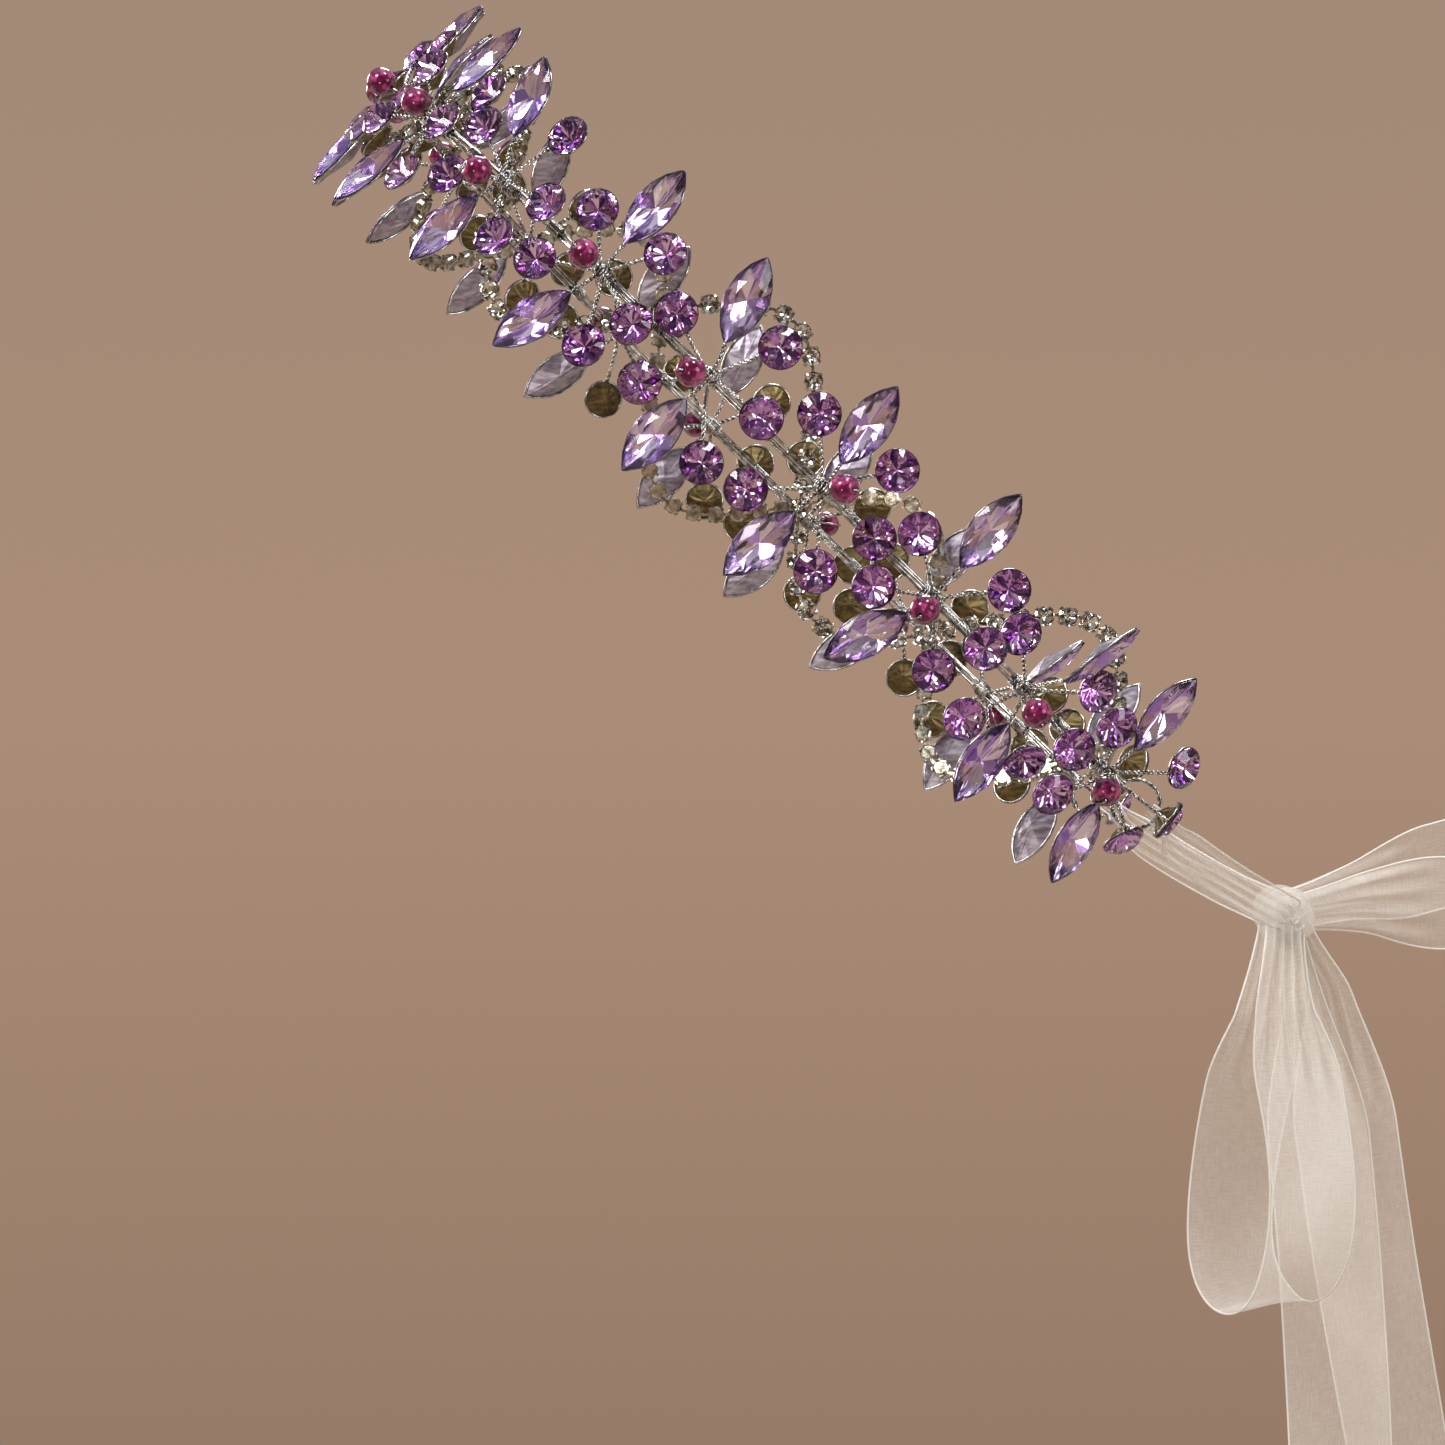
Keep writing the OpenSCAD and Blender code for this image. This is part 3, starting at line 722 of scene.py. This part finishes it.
def cup_place(i):
    """A cup's origin and its directions: along the chain, across it and off the head."""
    s = math.copysign(np.interp(abs(i) * CUP_PITCH, CHAIN_RUN, CHAIN_S), i)
    y = wave(s)
    lean = y / ACROSS_R
    high = ACROSS_R + CUP_Z - CUP_DIP * (1 - ease((abs(y) - 1.5) / 4))
    place = on_loop(s)
    off = math.cos(lean) * place[3] + math.sin(lean) * place[2]
    across = math.cos(lean) * place[2] - math.sin(lean) * place[3]
    slope = math.atan2(wave(s + 0.1) - wave(s - 0.1), 0.2)
    ahead = math.cos(slope) * place[1] + math.sin(slope) * across
    origin = at(place, 0, high * math.sin(lean), high * math.cos(lean) - ACROSS_R)
    return origin, ahead, np.cross(off, ahead), off


def flat_bar(stations, side_way, thick_way):
    """Points and faces of a bar through stations [centre, half width, half thickness]."""
    points, faces = [], []
    for centre, w, t in stations:
        for a, b in ((1, 1), (-1, 1), (-1, -1), (1, -1)):
            points.append(np.asarray(centre) + a * w * np.asarray(side_way) + b * t * np.asarray(thick_way))
    for i in range(len(stations) - 1):
        for j in range(4):
            k = (j + 1) % 4
            faces.append([4 * i + j, 4 * i + k, 4 * i + 4 + k, 4 * i + 4 + j])
    last = 4 * (len(stations) - 1)
    return points, faces + [[3, 2, 1, 0], [last, last + 1, last + 2, last + 3]]


def cup_chain():
    """The cups, each with four claws and half of the links to its neighbours, and the stones in them."""
    cups, stones = Piece(), Piece()
    wall = [[0.02, -0.75], [1.1, -0.75], [CUP_R, -0.55], [CUP_R, 0.05], [CUP_R - 0.1, 0.1],
            [CUP_R - 0.14, -0.3], [0.02, -0.35]]
    parts = [lathe(wall, 8)]
    for corner in range(4):
        a = math.pi / 4 + corner * math.pi / 2
        out, along = np.array([math.cos(a), math.sin(a), 0]), [-math.sin(a), math.cos(a), 0]
        parts.append(flat_bar([(out * (CUP_R + 0.08) + [0, 0, -0.6], 0.3, 0.09),
                               (out * (CUP_R + 0.12) + [0, 0, 0.3], 0.2, 0.09),
                               (out * CUP_R + [0, 0, 0.66], 0.15, 0.07),
                               (out * (CUP_R - 0.3) + [0, 0, 0.86], 0.11, 0.05)], along, out))
    for way in (1, -1):
        parts.append(flat_bar([([way * (CUP_R - 0.1), 0, -0.6], 0.3, 0.1),
                               ([way * CUP_PITCH * 0.43, 0, -0.6], 0.2, 0.1),
                               ([way * CUP_PITCH * 0.51, 0, -0.6], 0.2, 0.1)], [0, 1, 0], [0, 0, 1]))
    for i in range(-CUPS, CUPS + 1):
        place = cup_place(i)
        for points, faces in parts:
            cups.add(placed(points, *place), faces)
        raised = (place[0] + 0.33 * place[3], *place[1:])
        cut_stone(stones, raised, crystal_outline, 0.5, 0.72, 0.62, lacquered=False)
    cups.build("chain_settings", [polished], "vine", "chain_setting", "chain_cups")
    stones.build("chain_crystals", [crystal, champagne_foil], "vine", "chain_stone", "chain_stones")


# ---- the ribbon ----
def even_line(points, spacing):
    """A smooth line that passes near the given points, its own points evenly spaced."""
    line = np.asarray(points, float)
    for _ in range(4):
        cut = np.empty((2 * len(line) - 2, 3))
        cut[0::2] = 0.75 * line[:-1] + 0.25 * line[1:]
        cut[1::2] = 0.25 * line[:-1] + 0.75 * line[1:]
        line = np.vstack([line[:1], cut, line[-1:]])
    run = np.concatenate([[0], np.cumsum(np.linalg.norm(np.diff(line, axis=0), axis=1))])
    t = np.linspace(0, run[-1], int(run[-1] / spacing) + 2)
    return np.column_stack([np.interp(t, run, line[:, i]) for i in range(3)])


def ribbon(name, node, line, wide, width, flutter, folds, seed, slant=0.0):
    """A stretch of the ribbon along a line. Where width is under the cut's, the rest is taken up in pleats.

    flutter(run, t) lifts the cloth off its middle surface, with run along it and t from edge to edge. The far
    end is cut slant millimetres shorter at one edge."""
    line, wide = np.asarray(line, float), np.asarray(wide, float)
    width = np.asarray(width, float)[:, None]
    run = np.concatenate([[0], np.cumsum(np.linalg.norm(np.diff(line, axis=0), axis=1))])[:, None]
    ahead = np.gradient(line, axis=0)
    normal = np.cross(ahead, wide)
    normal /= np.linalg.norm(normal, axis=1)[:, None]
    wide = np.cross(normal, ahead)
    wide /= np.linalg.norm(wide, axis=1)[:, None]
    t = np.linspace(-1, 1, FACES_ACROSS + 1)[None, :]
    pleat = width * np.sqrt(2 * np.maximum((RIBBON_W / width) ** 2 - 1, 0)) / (2 * math.pi * folds)
    shift = seed + 0.7 * np.sin(run / 7 + seed)
    lift = np.minimum(pleat, PLEAT_MAX) * np.sin(math.pi * folds * t + shift + 0.6 * np.sin(2 * t + seed))
    lift = lift + flutter(run, t)
    grid = (line[:, None, :] + wide[:, None, :] * (width * t / 2)[:, :, None]
            + normal[:, None, :] * lift[:, :, None])
    if slant:
        rows = np.arange(len(line))[:, None] * (1 - slant * (1 + t) / 2 / run[-1])
        low = np.minimum(rows.astype(int), len(line) - 2)
        part = (rows - low)[:, :, None]
        column = np.arange(FACES_ACROSS + 1)[None, :]
        grid = grid[low, column] * (1 - part) + grid[low + 1, column] * part
    n = FACES_ACROSS + 1
    faces = [[i * n + j, i * n + j + 1, (i + 1) * n + j + 1, (i + 1) * n + j]
             for i in range(len(line) - 1) for j in range(FACES_ACROSS)]
    uv = np.stack(np.broadcast_arrays(t * RIBBON_W / 2 * MM, run * MM), axis=-1).reshape(-1, 2)
    piece = Piece()
    piece.add(grid.reshape(-1, 3), faces, 0, True, [tuple(c) for c in uv])
    for edge in (0, -1):
        tube(piece, grid[:, edge], SELVEDGE_R, 5, 1)
    made = piece.build(name, [organza, selvedge], None, "organza", node)
    return made


def crumple(reach, height, seed):
    """Soft waves that grow away from the knot."""
    def flutter(run, t):
        grown = ease(run / reach)
        small = 0.35 * np.sin(run / 4.7 - 2.6 * t + seed)
        return grown * height * (np.sin(run / 13 + 1.2 * t + seed) + small)
    return flutter


def arm(side, name):
    """An arm: folded through its end loop, then gathered round the nape into the knot."""
    first, last = RING_S + 3.5, RUN[-1] - 5.1
    points = []
    for t in np.linspace(0, 1, 15):
        place = on_loop(side * (first + t * (last - first)))
        points.append(at(place, 0, 5.6 * ease(t), 1.2 + 3.2 * ease(t)))
    ring = at(on_loop(side * RING_S), 0, 0, SPINE_Z)
    away = unit([0, KNOT[1] - END_LOOP_Y, KNOT[2] - END_LOOP_Z])
    wire = ring + END_RING_R * away
    outer = np.array([side * 0.95, 0, 0])
    fold = [points[1] - outer * 1.2, wire + away * 1.2 - outer, wire - outer, wire - away * 1.0,
            wire + outer, wire + away * 1.5 + outer]
    spacing = 0.5
    line = even_line(fold + points[2:] + [KNOT + [side * 3.5, 0, 0], KNOT + [side * 1.5, 0, 0]], spacing)
    n = len(line)
    run = np.arange(n) * spacing
    width = 2.4 + 3.2 * ease((run - 9) / 16) - 1.2 * ease((run - run[-1] + 12) / 9)
    wide = np.repeat([lean_back([0, 0, 1])], n, 0)
    ribbon(name, name.replace("folded_", "ribbon_"), line, wide, width,
           lambda run, t: 0.12 * np.sin(run / 3 + 3 * t), PLEATS, side)
    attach(bpy.data.objects[name], "ribbon_band")


def knot():
    """The ribbon wound over the crossing of the arms. Its edges draw in round them on both sides."""
    turn = np.linspace(0.4, 0.4 + 2.9 * math.pi, 120)[:, None]
    axis = unit([0.9, 0.3, -0.28])
    one = unit(np.cross(axis, [0, 0.3, 1]))
    r = 3.0 + 0.1 * turn
    line = (KNOT + 0.5 * np.sin(turn * 0.7) * axis + r * np.cos(turn) * one
            + 0.92 * r * np.sin(turn) * np.cross(axis, one))
    n = len(line)
    made = ribbon("tied_knot", "ribbon_knot", line, np.repeat([axis], n, 0), np.full(n, 7.0),
                  lambda run, t: -2.0 * np.abs(t) ** 3 - 0.15 * np.sin(run / 2.3 + 4 * t), 3, 0.8)
    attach(made, "ribbon_band")


def hinged(made):
    """Bakes a piece's placing into its points."""
    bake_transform(made)


def bow_loop(name, node, start, out, apart, offset, length, seed):
    """A loop of the bow: away from the knot on one side, in the direction out, and back on the other.

    Its sides part in the direction apart. They start at start from the knot's middle, and offset sets them
    across each other."""
    out = unit(out)
    apart = unit(np.asarray(apart) - out * np.dot(apart, out))
    a = np.linspace(0, 2 * math.pi, 200)
    far = length * (1 - np.cos(a)) / 2
    side = 0.75 * LOOP_GAP * np.sin(a) * np.sin(a / 2) ** 2 + 1.1 * np.cos(a / 2)
    wide = np.cross(out, apart)
    root = 0.3 + 0.7 * ease(far / 10)
    line = (KNOT + np.outer(root, start) + np.outer(far, out) + np.outer(side, apart)
            + np.outer(offset * np.sin(a) * (1 - np.cos(a)) / 1.3, wide))
    turned = wide + np.outer(0.22 * np.sin(a / 2), out)
    width = 6 + 9 * ease(far / 20)
    made = ribbon(name, node, line, turned, width, crumple(40, 0.55, seed), PLEATS,
                  seed)
    hinged(made)


def tail(name, node, start, drift, ripple, spread, twist, seed):
    """A hanging tail, cut on the slant.

    It drifts back as it falls, with a ripple, and its free end spreads to one side and twists."""
    down = np.linspace(0, TAIL_L, 240)
    t = down / TAIL_L
    free = ease((down - 62) / 75)
    root = 0.3 + 0.7 * ease(down / 9)
    line = KNOT + np.outer(root, start) + np.column_stack(
        [spread * free, drift * down + ripple * np.sin(np.radians(300) * t), -down])
    angle = twist * free
    wide = np.column_stack([np.sin(angle), np.cos(angle), drift * np.cos(angle)])
    width = 4 + 11 * ease(down / 28)
    made = ribbon(name, node, line, wide, width, crumple(50, 0.6, seed), PLEATS, seed,
                  TAIL_SLANT)
    hinged(made)


# ---- building it ----
for k in hubs:
    flower_wires(k)
    flower_rounds(k)
for side in ("left", "front", "right"):
    navette_group(side)
    bead_group(side)
spine()
spine_windings()
end_loop("end_loop_left", 1)
end_loop("end_loop_right", -1)
cup_chain()
arm(1, "folded_arm_left")
arm(-1, "folded_arm_right")
knot()
bow_loop("loop_low", "bow_loop_low", [6.1, -1.5, -5.2], [0.14, -0.04, -0.99], [0.89, 0.45, 0],
         -2.8, LOW_LOOP_L, 0.4)
bow_loop("loop_back", "bow_loop_back", [-7, 3.8, 1.5], [-0.25, 0.96, 0.12], [0.88, 0.28, -0.38],
         1.5, BACK_LOOP_L, 2.1)
tail("tail_near", "ribbon_tail_left", [-0.7, 2, -5.4], 0.07, 1.5, 4, 0.5, 1.0)
tail("tail_far", "ribbon_tail_right", [-3, 6, -3.6], 0.16, -1.5, -6, -0.6, 3.0)


# ---- camera, light and floor ----
def camera():
    """A metre to the wearer's left and about level with the ear, for the photo's view."""
    data = bpy.data.cameras.new("camera")
    data.sensor_width = 36
    data.lens = CAMERA_LENS
    data.clip_end = 20
    seen = bpy.data.objects.new("camera", data)
    seen.location = CAMERA_AT
    seen.rotation_euler = (math.pi / 2, 0, math.pi / 2)
    bpy.context.scene.collection.objects.link(seen)
    bpy.context.scene.camera = seen


def area_light(name, place, size, energy, colour):
    """A round soft light that points at the frame's origin."""
    data = bpy.data.lights.new(name, "AREA")
    data.shape = "DISK"
    data.size, data.energy, data.color = size, energy, colour
    lamp = bpy.data.objects.new(name, data)
    lamp.location = place
    lamp.visible_camera = False
    direction = -np.array(place)
    lamp.rotation_euler = (math.acos(-direction[2] / np.linalg.norm(direction)), 0,
                           math.atan2(direction[1], direction[0]) - math.pi / 2)
    bpy.context.scene.collection.objects.link(lamp)


def studio():
    """A world that is brown about the horizon, as the photo's wall is, dark below and pale overhead."""
    world = bpy.data.worlds.new("studio")
    world.use_nodes = True
    bpy.context.scene.world = world
    where = shader_node(world, "ShaderNodeTexCoord")
    split = shader_node(world, "ShaderNodeSeparateXYZ")
    height = shader_node(world, "ShaderNodeMapRange", From_Min=-1)
    link(world, where, "Generated", split, "Vector")
    link(world, split, "Z", height, "Value")
    shade = ramp(world, height, "Result", [
        (0.0, (0.05, 0.04, 0.035)), (0.40, (0.22, 0.14, 0.10)), (0.5, (0.40, 0.265, 0.185)),
        (0.6, (0.33, 0.245, 0.19)), (0.8, (0.16, 0.15, 0.15)), (1.0, (0.55, 0.56, 0.60))])
    background = world.node_tree.nodes["Background"]
    background.inputs["Strength"].default_value = 1.0
    link(world, shade, "Color", background, "Color")
    bpy.context.scene.view_settings.view_transform = "Standard"


def floor():
    made, shader = principled("pale_floor", Roughness=0.75)
    colour = ramp(made, noise(made, 6, 3), "Fac", [(0.3, (0.28, 0.225, 0.18)), (0.7, (0.295, 0.24, 0.192))])
    link(made, colour, "Color", shader, "Base Color")
    bpy.ops.mesh.primitive_circle_add(vertices=96, radius=0.9, fill_type="NGON", location=(0, 0, FLOOR_Z))
    ground = bpy.context.object
    ground.name = "floor"
    ground.data.materials.append(made)


camera()
area_light("key", (0.75, -0.8, 1.0), 0.55, 15, (1.0, 0.98, 0.95))
area_light("high", (0.35, 0.35, 1.2), 0.35, 6, (1.0, 1.0, 1.0))
area_light("low_side", (0.95, -0.35, -0.12), 0.16, 1.2, (1.0, 0.96, 0.92))
area_light("fill", (0.75, 0.95, 0.35), 0.6, 5.5, (0.96, 0.97, 1.0))
area_light("rim", (-0.8, 0.1, 0.9), 0.5, 9, (1.0, 1.0, 1.0))
area_light("opposite", (-0.85, -0.8, 0.35), 0.5, 7, (1.0, 0.97, 0.94))
studio()
floor()
